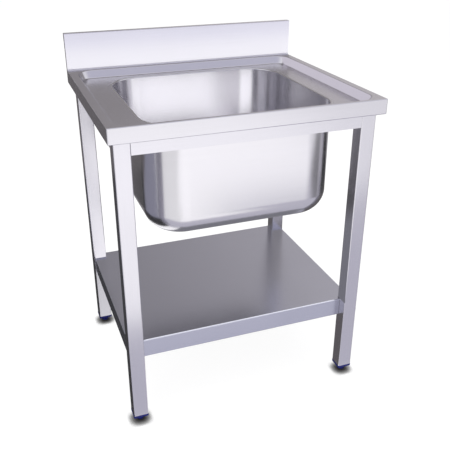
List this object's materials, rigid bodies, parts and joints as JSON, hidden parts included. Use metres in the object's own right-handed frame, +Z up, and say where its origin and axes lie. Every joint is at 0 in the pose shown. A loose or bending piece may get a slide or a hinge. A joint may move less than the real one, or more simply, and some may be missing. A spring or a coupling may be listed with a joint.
{
  "type": "utility sink",
  "caption": "Free-standing stainless utility sink: pressed worktop with rear upstand and a deep square bowl, on square tube legs with a folded lower shelf and screw feet.",
  "frame": {"origin": "on the floor, under the middle of the worktop's outline", "axes": "+X to the user's right, +Y from the front rim to the upstand, +Z up"},
  "size_m": [0.7, 0.6, 0.954],
  "materials": {
    "stainless_sheet": "satin brushed stainless sheet",
    "stainless_tube": "brushed stainless tube",
    "polished_steel": "polished stainless",
    "zinc_steel": "zinc plated",
    "blue_plastic": "moulded nylon",
    "glide_plastic": "moulded nylon",
    "brass": "turned",
    "black_rubber": "moulded rubber",
    "pipe_plastic": "moulded polypropylene"
  },
  "bodies": {
    "sink": {"worktop": "stainless_sheet", "bowl": "stainless_sheet", "upstand_cap_left": "stainless_sheet", "upstand_cap_right": "stainless_sheet", "worktop_stiffener_left": "zinc_steel", "worktop_stiffener_right": "zinc_steel", "worktop_screws": "zinc_steel", "worktop_nuts": "zinc_steel", "front_rail": "stainless_tube", "rear_rail": "stainless_tube", "side_rail_left": "stainless_tube", "side_rail_right": "stainless_tube", "leg_front_left": "stainless_tube", "leg_front_right": "stainless_tube", "leg_rear_left": "stainless_tube", "leg_rear_right": "stainless_tube", "shelf": "stainless_sheet", "shelf_stiffener": "zinc_steel", "shelf_bracket_front_left": "zinc_steel", "shelf_bracket_front_right": "zinc_steel", "shelf_bracket_rear_left": "zinc_steel", "shelf_bracket_rear_right": "zinc_steel", "shelf_bolts": "zinc_steel", "shelf_nuts": "zinc_steel", "tube_end_front_left": "blue_plastic", "tube_end_front_right": "blue_plastic", "tube_end_rear_left": "blue_plastic", "tube_end_rear_right": "blue_plastic", "foot_bushes": "brass", "waste_flange": "polished_steel", "waste_seal": "black_rubber", "waste_gasket": "black_rubber", "waste_body": "pipe_plastic", "waste_screw": "polished_steel", "waste_insert": "brass"},
    "front_left_glide": {"foot_glide_front_left": "glide_plastic"},
    "front_left_screw": {"foot_front_left": "blue_plastic", "foot_stud_front_left": "zinc_steel"},
    "front_right_glide": {"foot_glide_front_right": "glide_plastic"},
    "front_right_screw": {"foot_front_right": "blue_plastic", "foot_stud_front_right": "zinc_steel"},
    "rear_left_glide": {"foot_glide_rear_left": "glide_plastic"},
    "rear_left_screw": {"foot_rear_left": "blue_plastic", "foot_stud_rear_left": "zinc_steel"},
    "rear_right_glide": {"foot_glide_rear_right": "glide_plastic"},
    "rear_right_screw": {"foot_rear_right": "blue_plastic", "foot_stud_rear_right": "zinc_steel"},
    "plug": {"waste_plug": "black_rubber"},
    "pull_ring": {"plug_ring": "polished_steel"}
  },
  "joints": [
    {"name": "front_left_foot_travel", "type": "slide", "parent": "sink", "child": "front_left_glide", "axis": [0, 0, -1], "range_m": [0, 0.02]},
    {"name": "front_left_foot_turn", "type": "hinge", "parent": "front_left_glide", "child": "front_left_screw", "pos_m": [-0.315, -0.2575, 0.03], "axis": [0, 0, -1], "range_deg": [-60, 4860]},
    {"name": "front_right_foot_travel", "type": "slide", "parent": "sink", "child": "front_right_glide", "axis": [0, 0, -1], "range_m": [0, 0.02]},
    {"name": "front_right_foot_turn", "type": "hinge", "parent": "front_right_glide", "child": "front_right_screw", "pos_m": [0.315, -0.2575, 0.03], "axis": [0, 0, -1], "range_deg": [-60, 4860]},
    {"name": "rear_left_foot_travel", "type": "slide", "parent": "sink", "child": "rear_left_glide", "axis": [0, 0, -1], "range_m": [0, 0.02]},
    {"name": "rear_left_foot_turn", "type": "hinge", "parent": "rear_left_glide", "child": "rear_left_screw", "pos_m": [-0.315, 0.2545, 0.03], "axis": [0, 0, -1], "range_deg": [-60, 4860]},
    {"name": "rear_right_foot_travel", "type": "slide", "parent": "sink", "child": "rear_right_glide", "axis": [0, 0, -1], "range_m": [0, 0.02]},
    {"name": "rear_right_foot_turn", "type": "hinge", "parent": "rear_right_glide", "child": "rear_right_screw", "pos_m": [0.315, 0.2545, 0.03], "axis": [0, 0, -1], "range_deg": [-60, 4860]},
    {"name": "plug_lift", "type": "slide", "parent": "sink", "child": "plug", "axis": [0, 0, 1], "range_m": [0, 0.45]},
    {"name": "ring_swing", "type": "hinge", "parent": "plug", "child": "pull_ring", "pos_m": [0, -0.018, 0.5418], "axis": [-1, 0, 0], "range_deg": [0, 180]}
  ],
  "couplings": [
    {"joint": "front_left_foot_turn", "follows": "front_left_foot_travel", "rad_per_m": 4188.8},
    {"joint": "front_right_foot_turn", "follows": "front_right_foot_travel", "rad_per_m": 4188.8},
    {"joint": "rear_left_foot_turn", "follows": "rear_left_foot_travel", "rad_per_m": 4188.8},
    {"joint": "rear_right_foot_turn", "follows": "rear_right_foot_travel", "rad_per_m": 4188.8}
  ]
}
